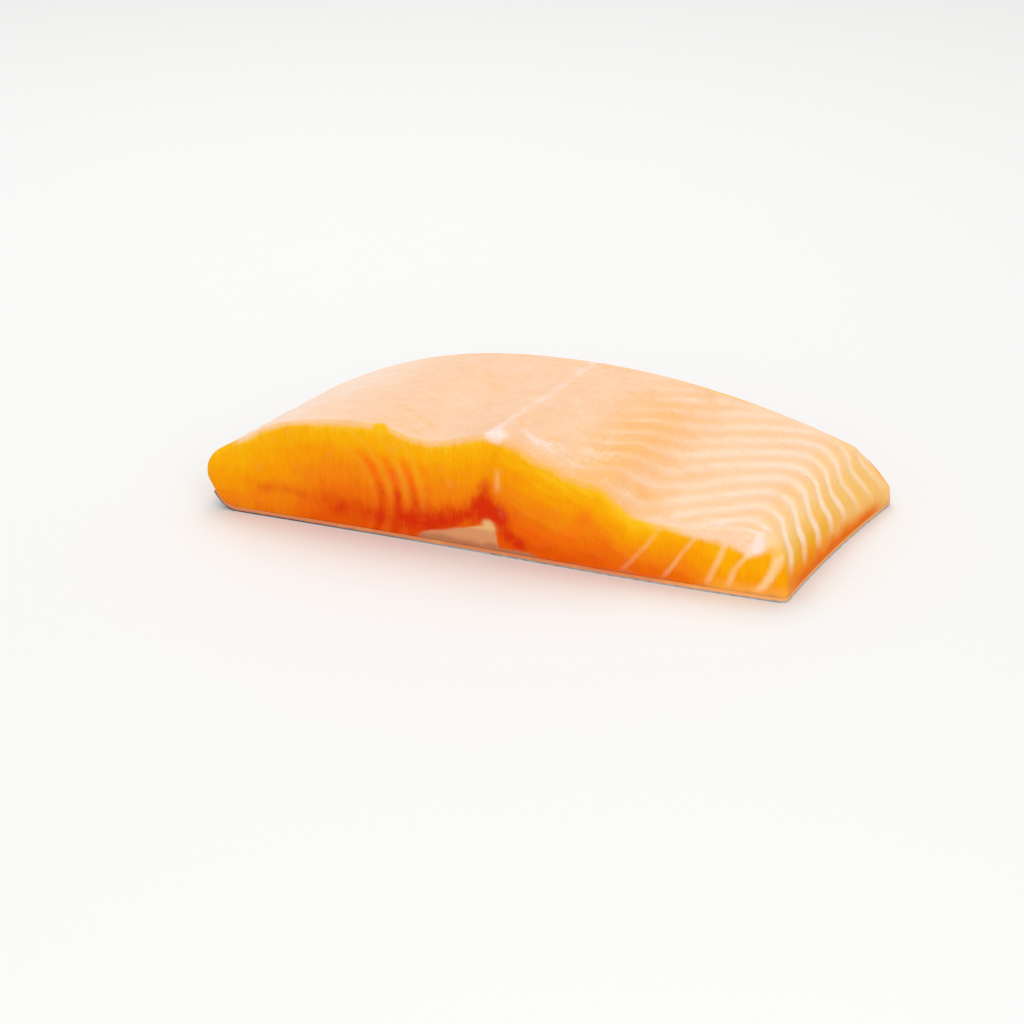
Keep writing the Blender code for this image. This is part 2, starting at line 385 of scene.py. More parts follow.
def right_side(w, t):
    """Belly wall: nearly upright, then rounded over into the top."""
    foot = bottom_side(1.0, t)
    shoulder = wall_x(t) - mix(WALL_LEAN, t)
    straight = mix(WALL_STRAIGHT, t)
    s = np.minimum(w / WALL_STRAIGHT_SHARE, 1.0)
    angle = np.maximum(w - WALL_STRAIGHT_SHARE, 0.0) / (1.0 - WALL_STRAIGHT_SHARE) * math.pi / 2
    end = top_side(1.0, t)
    lower = (foot[0] + (shoulder - foot[0]) * s, foot[1] + (straight - foot[1]) * s)
    flatness = mix(WALL_FLATNESS, t)
    upper = (
        end[0] + (shoulder - end[0]) * np.abs(np.cos(angle)) ** flatness,
        straight + (end[1] - straight) * np.sin(angle) ** flatness,
    )
    return [np.where(w < WALL_STRAIGHT_SHARE, lower[k], upper[k]) for k in (0, 1)]


def evenly(side, w, t):
    """Moves the shares w so that they go evenly along the side's length at each t."""
    moved = np.empty(len(w))
    steps = np.linspace(0.0, 1.0, 401)
    for place in np.unique(t):
        x, z = side(steps, place)
        run = np.concatenate(([0.0], np.cumsum(np.hypot(np.diff(x), np.diff(z)))))
        here = t == place
        moved[here] = np.interp(w[here] * run[-1], run, steps)
    return moved


def ease_cuts(u, t, w, section):
    """Evens out the grid inside the two cuts, so that no row runs over its rim."""
    for end in (0.0, 1.0):
        here = np.flatnonzero(t == end)
        here = here[np.lexsort((w[here], u[here]))]
        grid = section[:, here].reshape(2, len(np.unique(u[here])), -1)
        for _ in range(EASING_ROUNDS):
            grid[:, 1:-1, 1:-1] = (
                grid[:, 2:, 1:-1] + grid[:, :-2, 1:-1] + grid[:, 1:-1, 2:] + grid[:, 1:-1, :-2]
            ) / 4.0
        section[:, here] = grid.reshape(2, -1)


def flesh_places(u, t, w):
    """Places of the flesh block's points (u, t, w): the four sides of each cut, blended."""
    top, bottom = top_side(u, t), bottom_side(u, t)
    left = left_side(evenly(left_side, w, t), t)
    right = right_side(evenly(right_side, w, t), t)
    section = []
    for k in (0, 1):
        plain = (1.0 - w) * bottom[k] + w * top[k]
        for end, side, share in ((0, left, 1.0 - u), (1, right, u)):
            chord = (1.0 - w) * bottom_side(end, t)[k] + w * top_side(end, t)[k]
            plain = plain + share ** SIDE_FADES[end] * (side[k] - chord)
        section.append(plain)
    section = np.array(section)
    ease_cuts(u, t, w, section)
    x, z = section
    return np.stack((x, front_y(x) + (back_y(x) - front_y(x)) * t, z), 1)


def skin_places(u, t, w):
    """Places of the skin's points: u from the thick edge to the belly, w from outside in."""
    turn = np.minimum(u / SKIN_TURN_SHARE, 1.0)
    angle = SKIN_TOP_ANGLE + (-math.pi / 2 - SKIN_TOP_ANGLE) * turn
    thickness = SKIN_EDGE_THICKNESS + (SKIN_THICKNESS - SKIN_EDGE_THICKNESS) * smooth(turn)
    thickness = thickness + SKIN_FILL
    x, z = under_arc(angle, t, thickness * w)
    flat = np.maximum(u - SKIN_TURN_SHARE, 0.0) / (1.0 - SKIN_TURN_SHARE)
    start = mix(UNDER_X, t)
    x = np.where(u < SKIN_TURN_SHARE, x, start + (wall_x(t) - start) * flat)
    z = np.where(u < SKIN_TURN_SHARE, z, thickness * w)
    return np.stack((x, front_y(x) + (back_y(x) - front_y(x)) * t, z), 1)


# ================================ blocks ========================================================


def divided_block(name, node, cells, keep_coarse_below):
    """A closed block as large as the CAD node, divided into cells and then finely."""
    low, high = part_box(node)
    bpy.ops.object.select_all(action="DESELECT")
    bpy.ops.mesh.primitive_cube_add(size=1.0, location=(low + high) / 2.0)
    block = bpy.context.object
    block.name = name
    block.scale = high - low
    bpy.ops.object.transform_apply(location=True, rotation=False, scale=True)
    bpy.ops.object.mode_set(mode="EDIT")
    for axis, count in enumerate(cells):
        normal = Vector((0.0, 0.0, 0.0))
        normal[axis] = 1.0
        for step in range(1, count):
            place = low + (high - low) * (step / count)
            bpy.ops.mesh.select_all(action="SELECT")
            bpy.ops.mesh.bisect(plane_co=place, plane_no=normal)
    bpy.ops.mesh.select_mode(type="FACE")
    bpy.ops.mesh.select_all(action="DESELECT")
    bpy.ops.object.mode_set(mode="OBJECT")
    for face in block.data.polygons:
        face.select = face.normal.z > -0.5 or not keep_coarse_below
    bpy.ops.object.mode_set(mode="EDIT")
    bpy.ops.mesh.subdivide(number_cuts=CELL_CUTS)
    bpy.ops.object.mode_set(mode="OBJECT")
    return block


def points_of(mesh, what="co"):
    found = np.empty(len(mesh.vertices) * 3, np.float32)
    mesh.vertices.foreach_get(what, found)
    return found.reshape(-1, 3).astype(float)


def place_points(mesh, places):
    mesh.vertices.foreach_set("co", places.astype(np.float32).ravel())
    mesh.update()


def shares_of(mesh, node):
    """Each vertex's place in its block, from 0 to 1 along each axis."""
    low, high = (np.array(corner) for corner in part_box(node))
    return np.clip(np.round((points_of(mesh) - low) / (high - low), 5), 0.0, 1.0).T


def crowded(share, finest, reach):
    """Moves rows towards both ends: the finest row is this share of a plain one."""
    steps = np.linspace(0.0, 1.0, 2001)
    density = 1.0 - (1.0 - finest) * (np.exp(-steps / reach) + np.exp((steps - 1.0) / reach))
    travelled = np.concatenate(([0.0], np.cumsum((density[1:] + density[:-1]) / 2.0)))
    return np.interp(share, steps, travelled / travelled[-1])


def uneven(places, size, seed):
    """Smooth noise from about -1 to 1 with lumps of this size, in the places' own unit."""
    shift = Vector((seed * 17.3, seed * 5.1, seed * 9.7))
    return np.array(
        [noise.fractal(Vector(place) / size + shift, 0.8, 2.1, 2) for place in places]
    )


def carve(mesh, depth):
    """Moves every vertex in along its normal, and keeps the piece inside the CAD box."""
    places = points_of(mesh) - points_of(mesh, "normal") * (depth * MM)[:, None]
    place_points(mesh, np.clip(places, np.array(CAD_LOW), np.array(CAD_HIGH)))


def store(mesh, name, values):
    mesh.attributes.new(name, "FLOAT", "POINT").data.foreach_set(
        "value", np.asarray(values, np.float32)
    )


def finish_piece(piece, material, node):
    piece.data.materials.append(material)
    piece.data.shade_smooth()
    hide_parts(node)
    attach(piece, "root")


# ================================ flesh fields ==================================================


def chevron(along):
    """How far back a muscle layer's line lies at this distance from the midline (mm)."""
    turned = SHOULDER_SOFT * np.logaddexp(0.0, (SHOULDER_AT - along) / SHOULDER_SOFT)
    down = SHOULDER_DROP * smooth((along - SHOULDER_AT + 1.0) / SHOULDER_REACH)
    return CHEVRON_RISE * (SHOULDER_AT - turned) - down


def ring_phase(x, z, t, centre, first, spacing):
    """A whole number on every ring round a centre of a cut."""
    centre_z = centre[1] * crest_z(centre[0] * MM, t) / MM
    return (np.hypot(x - centre[0], z - centre_z) - first) / spacing


def between(x, low, high, soft):
    """1 from low to high, with soft ends."""
    return smooth((x - low) / soft + 0.5) * (1.0 - smooth((x - high) / soft + 0.5))


def near_line(phase):
    """1 on a line, 0 midway between two."""
    return 1.0 - 2.0 * np.abs(phase - np.round(phase))


def fat_amount(x, z):
    """Pale fat: a wedge at the foot of the left lobe with a knob at its end, then a thin line."""
    start, end = FAT_ENDS
    wedge = FAT_HEIGHT + FAT_SLOPE * np.clip(x - start, 0.0, end - start)
    top = wedge + (FAT_LINE - wedge) * smooth((x + 0.6) / 2.0)
    level = 1.0 - smooth((z - top + 0.9) / 1.8)
    level *= 1.0 - 0.65 * smooth((x - 12.0) / 6.0)
    knob_x, knob_z, radius = KNOB
    knob = bell(np.hypot(x - knob_x, z - knob_z), 0.0, radius)
    return np.maximum(level * smooth((x - start - 4.0) / 7.0), knob)


def blood_amount(x, z):
    """Red flesh: a band above the fat, fainter bands, streaks beside the septum and spots."""
    away = z - mix(BAND_HEIGHTS, smooth((x - BAND_RISE[0]) / BAND_RISE[1]))
    amount = bell(away, 0.0, np.where(away > 0.0, *BAND_REACH)) * between(x, *BAND_ENDS)
    for start, end, soft, height, half, strength in BLOOD_BANDS:
        amount += strength * bell(z, height, half) * between(x, start, end, soft)
    for foot, slant, width, height, half, strength in BLOOD_STREAKS:
        amount += strength * bell(x, foot + slant * z, width) * bell(z, height, half)
    for spot_x, spot_z, radius, strength in BLOOD_SPOTS:
        amount += strength * bell(np.hypot(x - spot_x, z - spot_z), 0.0, radius)
    return amount


def lay_out(mesh, normals, shares):
    """Unrolls the block's six sides on one picture, the hidden underside small."""
    u, t, w = shares
    ways = {
        "left": (0, -1, t, w), "right": (0, 1, t, w), "front": (1, -1, u, w),
        "back": (1, 1, u, w), "bottom": (2, -1, u, t), "top": (2, 1, u, t),
    }
    corner = np.empty(len(mesh.loops), np.int32)
    mesh.loops.foreach_get("vertex_index", corner)
    sizes = np.empty(len(mesh.polygons), np.int32)
    mesh.polygons.foreach_get("loop_total", sizes)
    facing = np.repeat(normals, sizes, axis=0)
    places = np.zeros((len(corner), 2), np.float32)
    for name, (axis, sign, across, up) in ways.items():
        left, low, width, height = PICTURE[name]
        there = facing[:, axis] * sign > 0.5
        places[there, 0] = left + width * across[corner[there]]
        places[there, 1] = low + height * up[corner[there]]
    mesh.uv_layers[0].name = "OFBake"
    mesh.uv_layers[0].data.foreach_set("uv", places.ravel())


def shape_flesh(mesh):
    """Gives the block the flesh's shape, its fields and its relief."""
    normals = np.empty(len(mesh.polygons) * 3, np.float32)
    mesh.polygons.foreach_get("normal", normals)
    u, t, w = shares_of(mesh, "flesh")
    t = crowded(t, FINEST_ROW, FINE_REACH)
    lay_out(mesh, normals.reshape(-1, 3), (u, t, w))
    places = flesh_places(u, t, w)
    place_points(mesh, places)
    x, y, z = (places / MM).T
    front = (places[:, 1] - front_y(places[:, 0])) / MM
    back = (back_y(places[:, 0]) - places[:, 1]) / MM
    behind = np.minimum(front, back)
    ends = FRONT_CREST[0][0], FRONT_CREST[-1][0]
    crest = crest_z(np.clip(places[:, 0], *ends), t) / MM
    sunk = np.maximum(crest - z, 0.0)

    # distance from the midline along the outside: over the top and down the sides
    right_end = (wall_x(t) - mix(WALL_ROUND, t)) / MM
    right_drop = np.maximum(crest_z(right_end * MM, t) / MM - z, 0.0) * (x > right_end)
    left_end = mix(CREST_X, t) / MM
    left_drop = np.maximum(crest_z(left_end * MM, t) / MM - z, 0.0) * (x < left_end)
    along = np.abs(x) + right_drop + left_drop

    waver = uneven(places / MM, 26.0, 1)
    lumps = uneven(places / MM, 9.0, 4)
    unbent = y - chevron(along) - LAYER_CHANGE
    outer = unbent / np.where(unbent < 0.0, *LAYER_DEPTHS) + 0.07 * waver
    dorsal = ring_phase(x, z, t, DORSAL_CENTRE, DORSAL_FIRST, DORSAL_SPACING) + 0.08 * waver
    belly = ring_phase(x, z, t, BELLY_CENTRE, BELLY_FIRST, BELLY_SPACING) + 0.08 * waver
    stripes = np.zeros(len(x))
    for foot, slant, bend, half, strength in STRIPES:
        stripes += strength * bell(x, foot + (slant + bend * z) * z, half)

    # where the pale outside ends and the cut begins
    tuft = TUFT[2] * bell(x, *TUFT[:2]) * (front < back)
    right, right_soft, left, left_soft = LIP_SIDES
    lip = LIP * (smooth((x - right) / right_soft) + smooth((x - left) / left_soft) - 1.0)
    for at, half, amount in LIP_SPOTS:
        lip += amount * bell(x, at, half)

    # depth below the rim, less at both ends, where the flesh stays golden further down
    depth = sunk / (8.0 + 0.8 * crest) * (1.0 - 0.38 * (1.0 - smooth((x + 82.0) / 26.0)))
    depth *= 1.0 - 0.60 * smooth((x - 64.0) / 18.0)

    # the midline bends a little; tan patches over the belly's shoulder; pale pinkish spots, which
    # are painted highlights
    middle = MIDLINE_X + 1.8 * bell(y, -50.0, 8.0) - 0.9 * smooth(y / 45.0)
    tan = 0.9 * bell(x, 33.0, 12.0) * (1.0 - 0.8 * smooth((y - 2.0) / 40.0))
    tan = np.maximum(tan, 0.75 * bell(front, 0.0, 7.0) * between(x, 4.0, 52.0, 12.0))
    tan = np.maximum(tan, 0.9 * bell(np.hypot(x - 47.0, y + 34.0), 0.0, 6.0))
    pink_highlight = np.zeros(len(x))
    for spot_x, spot_y, radius, strength in PINK_HIGHLIGHTS:
        pink_highlight += strength * bell(np.hypot(x - spot_x, y - spot_y), 0.0, radius)
    spot_x, spot_z, radius, strength = CORNER_HIGHLIGHT
    pink_highlight += strength * bell(np.hypot(x - spot_x, z - spot_z), 0.0, radius) * (front < 4.0)

    fields = {
        "behind": behind - tuft,
        "edge": sunk - lip - behind + tuft,
        "depth": depth,
        "along": along * np.sign(x),
        "drop": right_drop,
        "edge_drop": left_drop,
        "outer": outer,
        "dorsal": dorsal,
        "belly": belly,
        "mid": x - middle,
        "blood": blood_amount(x, z + 0.8 * lumps),
        "fat": fat_amount(x + 1.5 * lumps, z + 0.8 * waver),
        "tan": tan,
        "pink_highlight": pink_highlight,
    }
    for name, values in fields.items():
        store(mesh, name, values)

    cut = 1.0 - smooth((behind - 0.3) / 1.5)
    rings = np.clip(near_line(dorsal), 0.0, 1.0) ** 4 * (1.0 - smooth((x + 10.0) / 8.0))
    on_cut = RING_RELIEF * rings + STRIPE_RELIEF * stripes
    on_cut += CUT_RELIEF * uneven(places / MM, 7.0, 2)
    on_top = LINE_RELIEF + BELLY_RELIEF * smooth((along - 45.0) / 42.0)
    on_top *= np.clip(near_line(outer), 0.0, 1.0) ** 2
    on_top += TOP_RELIEF * uneven(places / MM, 15.0, 3) + LUMP_RELIEF * lumps
    on_top += MIDLINE_RELIEF * bell(x - middle, 0.0, 1.4) * smooth((z - 20.0) / 8.0)
    relief = (cut * on_cut + (1.0 - cut) * on_top) * smooth((behind + sunk) / 3.0)
    carve(mesh, relief * smooth((z - STILL_BELOW) / 2.0))


# ================================ skin fields ===================================================


def scale_place(x, y):
    """0 at the middle of a fish scale, 1 at its free edge; each row lies over the next one."""
    place = np.ones(len(x))
    row = np.floor(y / SCALE_LENGTH)
    for step in (1, 0, -1):
        k = row + step
        across = (x / SCALE_WIDTH - 0.5 * (k % 2) + 0.5) % 1.0 - 0.5
        away = np.hypot(across * SCALE_WIDTH, y - k * SCALE_LENGTH) / SCALE_RADIUS
        place = np.where(away < 1.0, away, place)
    return place


def shape_skin(mesh):
    """Gives the block the skin's shape, its fields and its scales."""
    u, t, w = shares_of(mesh, "skin")
    places = skin_places(u, t, w)
    place_points(mesh, places)
    x, y, _ = (places / MM).T
    x = x + SCALE_WAVER * uneven(places / MM, 12.0, 5)
    y = y + SCALE_WAVER * uneven(places / MM, 12.0, 6)
    scale = scale_place(x, y)
    store(mesh, "inside", w)
    store(mesh, "scale", scale)
    underside = w < 0.01
    carve(mesh, SCALE_RELIEF * (1.0 - scale) * underside * between(t, *SCALE_MARGIN))


# ================================ materials =====================================================


class Finish:
    """One material and the nodes that paint it."""

    def __init__(self, name):
        self.material = bpy.data.materials.new(name)
        self.material.use_nodes = True
        self.tree = self.material.node_tree
        self.shader = self.tree.nodes["Principled BSDF"]
        self.place = self.node("ShaderNodeTexCoord").outputs["Object"]

    def node(self, kind, **settings):
        made = self.tree.nodes.new(kind)
        for name, value in settings.items():
            setattr(made, name, value)
        return made

    def plug(self, socket, value):
        if isinstance(value, bpy.types.NodeSocket):
            self.tree.links.new(value, socket)
        elif hasattr(value, "__len__") and len(socket.default_value) == 4:
            socket.default_value = (*value[:3], 1.0)
        else:
            socket.default_value = value

    def math(self, operation, *values):
        made = self.node("ShaderNodeMath", operation=operation)
        for socket, value in zip(made.inputs, values):
            self.plug(socket, value)
        return made.outputs[0]

    def add(self, *values):
        total = values[0]
        for value in values[1:]:
            total = self.math("ADD", total, value)
        return total

    def times(self, *values):
        total = values[0]
        for value in values[1:]:
            total = self.math("MULTIPLY", total, value)
        return total

    def less(self, a, b):
        return self.math("SUBTRACT", a, b)

    def rise(self, value, low, high):
        """0 below low and 1 above high, with a soft step between; high may be the lower one."""
        made = self.node("ShaderNodeMapRange", interpolation_type="SMOOTHSTEP")
        up = high > low
        for name, number in zip(
            ("From Min", "From Max", "To Min", "To Max"),
            (low, high, 0.0, 1.0) if up else (high, low, 1.0, 0.0),
        ):
            made.inputs[name].default_value = number
        self.plug(made.inputs["Value"], value)
        return made.outputs["Result"]

    def blend(self, share, a, b):
        made = self.node("ShaderNodeMix", data_type="RGBA")
        self.plug(made.inputs["Factor"], share)
        self.plug(made.inputs[6], a)
        self.plug(made.inputs[7], b)
        return made.outputs[2]

    def ramp(self, value, *stops):
        made = self.node("ShaderNodeValToRGB")
        ramp = made.color_ramp
        ramp.interpolation = "EASE"
        while len(ramp.elements) < len(stops):
            ramp.elements.new(1.0)
        for element, (place, colour) in zip(ramp.elements, stops):
            element.position = place
            element.color = (*colour[:3], 1.0)
        self.plug(made.inputs["Fac"], value)
        return made.outputs["Color"]

    def field(self, name):
        return self.node("ShaderNodeAttribute", attribute_name=name).outputs["Fac"]

    def grain(self, size, detail=2.0, stretch=(1.0, 1.0, 1.0), turn=0.0):
        """Noise around 0, from about -0.5 to 0.5, with lumps of this size in metres.

        Stretched lumps may be turned about the Y axis."""
        mapping = self.node("ShaderNodeMapping", vector_type="TEXTURE")
        self.plug(mapping.inputs["Vector"], self.place)
        mapping.inputs["Rotation"].default_value = (0.0, turn, 0.0)
        mapping.inputs["Scale"].default_value = [size * s for s in stretch]
        made = self.node("ShaderNodeTexNoise")
        made.inputs["Scale"].default_value = 1.0
        made.inputs["Detail"].default_value = detail
        self.plug(made.inputs["Vector"], mapping.outputs["Vector"])
        return self.less(made.outputs["Fac"], 0.5)

    def line(self, phase, core, fringe):
        """1 on the lines where the phase is a whole number; widths are shares of the spacing."""
        away = self.math("PINGPONG", phase, 0.5)
        return self.rise(away, fringe, core)

    def bump(self, height, distance, under=None):
        made = self.node("ShaderNodeBump")
        made.inputs["Strength"].default_value = 1.0
        made.inputs["Distance"].default_value = distance
        self.plug(made.inputs["Height"], height)
        if under is not None:
            self.plug(made.inputs["Normal"], under)
        return made.outputs["Normal"]


def srgb(red, green, blue):
    """A colour as a picker shows it, from 0 to 255, as the numbers a shader takes."""
    shares = (red / 255.0, green / 255.0, blue / 255.0)
    return tuple(s / 12.92 if s <= 0.04045 else ((s + 0.055) / 1.055) ** 2.4 for s in shares)


def flesh_finish(colours):
    """Moist outside, pale partly from its membrane's own colour and partly from painted sheen;
    saturated cuts that go from golden at the rim to red at the foot.

    Places are in millimetres, the grains' sizes in metres."""
    f = Finish("salmon flesh")
    split = f.node("ShaderNodeSeparateXYZ")
    f.plug(split.inputs[0], f.place)
    x, y, z = (f.times(split.outputs[axis], 1.0 / MM) for axis in "XYZ")
    drop = f.field("drop")
    along = f.field("along")
    behind = f.field("behind")

    lumps = f.grain(0.016)
    mottle = f.grain(0.005, 3.0)
    fibres = f.grain(0.0011, 3.0, stretch=(1.0, 5.0, 1.0))
    threads = f.grain(0.0009, 2.0, stretch=(1.0, 1.0, 4.0))
    upright = f.grain(0.0026, 2.0, stretch=(1.0, 1.0, 5.0))
    sloping = f.grain(0.0022, 3.0, stretch=(6.0, 1.0, 1.0), turn=LOBE_SLOPE)
    on_lobe = f.times(f.rise(x, 2.0, 8.0), f.rise(x, 52.0, 38.0))
    strands = f.add(f.times(upright, f.less(1.0, on_lobe)), f.times(sloping, on_lobe, 1.5))

    # the cuts: golden under the rim, then orange, red towards the foot
    warm = f.add(
        f.field("depth"),
        f.times(lumps, 0.20),
        f.times(mottle, 0.15),
        f.times(threads, 0.10),
        f.times(strands, 0.22),
    )
    cut = f.ramp(
        warm,
        (0.0, colours.rim),
        (0.10, colours.golden),
        (0.28, colours.amber),
        (0.46, colours.middle),
        (0.64, colours.low),
        (0.85, colours.foot),
    )
    near_foot = f.rise(z, 6.5, 2.5)
    corner = f.times(f.rise(x, 68.0, 84.0), near_foot, CORNER_SHARES[0])
    cut = f.blend(corner, cut, colours.corner)

    # rings of the two lobes, and the upright stripes at the belly end
    dorsal, belly = f.field("dorsal"), f.field("belly")
    left = f.times(f.rise(x, -62.0, -50.0), f.rise(x, -19.0, -30.0), f.rise(dorsal, -0.4, 0.2))
    right = f.times(f.rise(x, SEPTUM_X + 2.0, 8.0), f.rise(x, 42.0, 32.0))
    right = f.times(right, f.rise(belly, -0.4, 0.1))
    rough_up = f.add(0.9, f.times(mottle, 1.8))
    red = f.blend(f.rise(z, 22.0, 14.0), colours.streak, colours.blood)
    between_rings = f.line(f.add(dorsal, 0.5), 0.04, 0.40)
    streak = f.times(left, between_rings, f.rise(z, 31.0, 25.0), STREAK_SHARE, rough_up)
    cut = f.blend(streak, cut, red)
    between_arcs = f.line(f.add(belly, 0.5), 0.03, 0.30)
    arc = f.times(right, between_arcs, f.rise(z, 26.0, 18.0), ARC_SHARE, rough_up)
    cut = f.blend(arc, cut, colours.streak)
    stripes = 0.0
    for foot, slant, bend, half, strength in STRIPES:
        at = f.add(foot, f.times(z, f.add(slant, f.times(z, bend))), f.times(mottle, 1.2))
        share = f.rise(f.math("ABSOLUTE", f.less(x, at)), 1.7 * half, 0.2 * half)
        stripes = f.math("MAXIMUM", stripes, f.times(share, strength))
    stripes = f.times(stripes, f.rise(z, 1.6, 4.5), f.rise(z, 21.0, 15.0))
    pale = f.add(f.times(left, f.line(dorsal, 0.02, 0.2), RING_SHARE), stripes)
    pale = f.times(pale, rough_up)
    cut = f.blend(pale, cut, colours.ring)
    blood = f.times(f.field("blood"), f.add(0.95, f.times(mottle, 1.6), f.times(threads, 0.5)))
    cut = f.blend(f.rise(blood, 0.0, 1.1), cut, colours.blood)
    septum = f.rise(f.math("ABSOLUTE", f.add(x, f.times(mottle, 2.0), -SEPTUM_X)), 1.7, 0.1)
    septum = f.times(septum, f.rise(z, 21.0, 25.0), f.rise(z, 32.0, 27.0))
    septum = f.times(septum, rough_up, SEPTUM_SHARE)
    cut = f.blend(septum, cut, colours.ring)
    fat = f.rise(f.add(f.field("fat"), f.times(mottle, 1.0)), 0.1, 0.95)
    tallow = f.blend(f.rise(f.add(z, f.times(mottle, 4.0)), 2.4, 5.0), colours.gristle, colours.fat)
    tallow = f.blend(f.rise(z, 7.4, 9.4), tallow, colours.knob)
    cut = f.blend(f.times(fat, FAT_SHARE), cut, tallow)

    # the outside: rosy at the thick edge, peach, tan over the shoulder of the belly; the top's
    # paleness is partly the membrane's own colour and partly painted sheen
    rosy_and_sheen = f.rise(f.add(x, f.times(lumps, 50.0)), -48.0, -82.0)
    top = f.blend(rosy_and_sheen, colours.peach_and_sheen, colours.rosy_and_sheen)
    cream_and_sheen = f.rise(f.add(x, f.times(lumps, 30.0)), 50.0, 64.0)
    top = f.blend(f.times(cream_and_sheen, 0.8), top, colours.cream_and_sheen)
    top = f.blend(f.times(f.rise(x, 82.0, 92.0), 0.7), top, colours.honey)
    top = f.blend(f.times(f.field("tan"), f.add(0.9, f.times(mottle, 1.4))), top, colours.tan)
    grain = f.add(lumps, f.times(mottle, 0.9), f.times(fibres, 0.5))
    top = f.blend(f.times(f.rise(grain, 0.0, 0.3), 0.6), top, colours.cream_and_sheen)
    top = f.blend(f.times(f.rise(grain, 0.0, -0.35), 0.4), top, colours.tan)

    level = f.add(z, f.times(mottle, 3.0), f.times(lumps, 3.0))
    wall = f.ramp(
        f.times(level, 1.0 / 22.0),
        (0.13, colours.low),
        (0.24, colours.middle),
        (0.36, colours.amber),
        (0.52, colours.side),
        (0.74, colours.upper),
        (0.92, colours.honey),
    )
    far = f.rise(f.add(y, f.times(mottle, 12.0)), -24.0, 14.0)
    wall = f.blend(f.times(far, f.rise(level, 2.5, 8.0), 0.8), wall, colours.far)
    corner = f.times(f.rise(y, -34.0, -47.0), near_foot, CORNER_SHARES[1])
    wall = f.blend(corner, wall, colours.corner)
    wall = f.blend(f.times(f.rise(y, 26.0, 40.0), 0.8), wall, colours.far)
    wall = f.blend(f.times(f.rise(y, 38.0, 45.0), 0.5), wall, colours.cream_and_sheen)
    outside = f.blend(f.rise(drop, 0.3, 3.0), top, wall)
    edge_drop = f.add(f.field("edge_drop"), f.times(mottle, 5.0))
    outside = f.blend(f.rise(edge_drop, 1.0, 14.0), outside, colours.golden)

    # pale lines between the muscle layers, the midline, and the pale pinkish spots, which are
    # painted highlights
    outer = f.field("outer")
    thin = f.times(
        f.line(outer, 0.04, 0.26),
        f.add(
            f.times(RIGHT_LINE_SHARE, f.rise(along, 8.0, 34.0), f.add(1.0, f.times(lumps, 3.0))),
            f.times(LEFT_LINE_SHARE, f.rise(along, -20.0, -70.0)),
            f.times(BELLY_LINE_SHARE, f.rise(along, 58.0, 82.0)),
        ),
        f.rise(drop, 2.5, 0.5),
    )
    broad = f.times(
        f.line(outer, 0.06, 0.27),
        f.rise(along, 82.0, 92.0),
        f.rise(level, 4.5, 15.0),
        f.less(WALL_LINE_SHARE, f.times(f.rise(y, 0.0, 24.0), WALL_LINE_FADE)),
    )
    lines = f.times(f.math("MAXIMUM", thin, broad), f.rise(behind, 2.0, 7.0))
    lines = f.times(lines, f.add(0.95, f.times(mottle, 1.2)))
    gaps = f.times(f.line(f.add(outer, 0.5), 0.05, 0.30), f.rise(along, 18.0, 40.0), GAP_SHARE)
    gaps = f.times(gaps, f.rise(drop, 3.0, 0.5), f.rise(behind, 2.0, 7.0), rough_up)
    outside = f.blend(gaps, outside, colours.tan)
    outside = f.blend(lines, outside, colours.line)
    middle = f.math("ABSOLUTE", f.add(f.field("mid"), f.times(mottle, 2.0)))
    # the midline grows brighter towards the front cut: a painted highlight
    front_highlight = f.rise(y, -30.0, -46.0)
    middle = f.times(
        f.rise(middle, 2.8, 0.2),
        f.add(0.40, f.times(lumps, 0.9), f.times(mottle, 0.5), f.times(front_highlight, 0.4)),
        f.rise(z, 15.0, 25.0),
    )
    outside = f.blend(middle, outside, colours.midline_and_highlight)
    # painted highlights: pale pinkish spots on the top and one on the front corner
    pink_highlight = f.times(f.field("pink_highlight"), f.add(1.0, f.times(mottle, 5.0), f.times(strands, 1.5)))
    outside = f.blend(f.rise(pink_highlight, 0.05, 1.0), outside, colours.midline_and_highlight)

    # which of the two shows, with a ragged limit
    ragged = f.add(f.times(lumps, 1.4), f.times(mottle, 2.6), f.times(threads, 1.0))
    on_cut = f.times(
        f.rise(f.add(f.field("edge"), ragged, f.times(stripes, -3.0)), -1.6, 1.8),
        f.rise(f.add(behind, ragged), 3.2, 0.8),
    )
    f.plug(f.shader.inputs["Base Color"], f.blend(on_cut, outside, cut))

    # surface
    rough = f.add(0.38, f.times(mottle, 0.20), f.times(fibres, 0.10), f.times(on_cut, 0.06))
    f.plug(f.shader.inputs["Roughness"], rough)
    f.plug(f.shader.inputs["Subsurface Weight"], 0.12)
    f.plug(f.shader.inputs["Subsurface Radius"], (1.0, 0.35, 0.10))
    f.plug(f.shader.inputs["Subsurface Scale"], 0.0025)
    f.plug(f.shader.inputs["IOR"], 1.38)
    matt = f.math("MAXIMUM", on_cut, f.rise(drop, 1.0, 6.0))
    gloss = f.less(OUTSIDE_GLOSS, f.times(matt, GLOSS_LOSS))
    f.plug(f.shader.inputs["Specular IOR Level"], gloss)
    relief = f.bump(f.blend(on_cut, lines, pale), -0.20 * MM)
    relief = f.bump(f.blend(on_cut, fibres, threads), 0.30 * MM, under=relief)
    relief = f.bump(mottle, 0.6 * MM, under=relief)
    f.plug(f.shader.inputs["Normal"], relief)
    return f.material


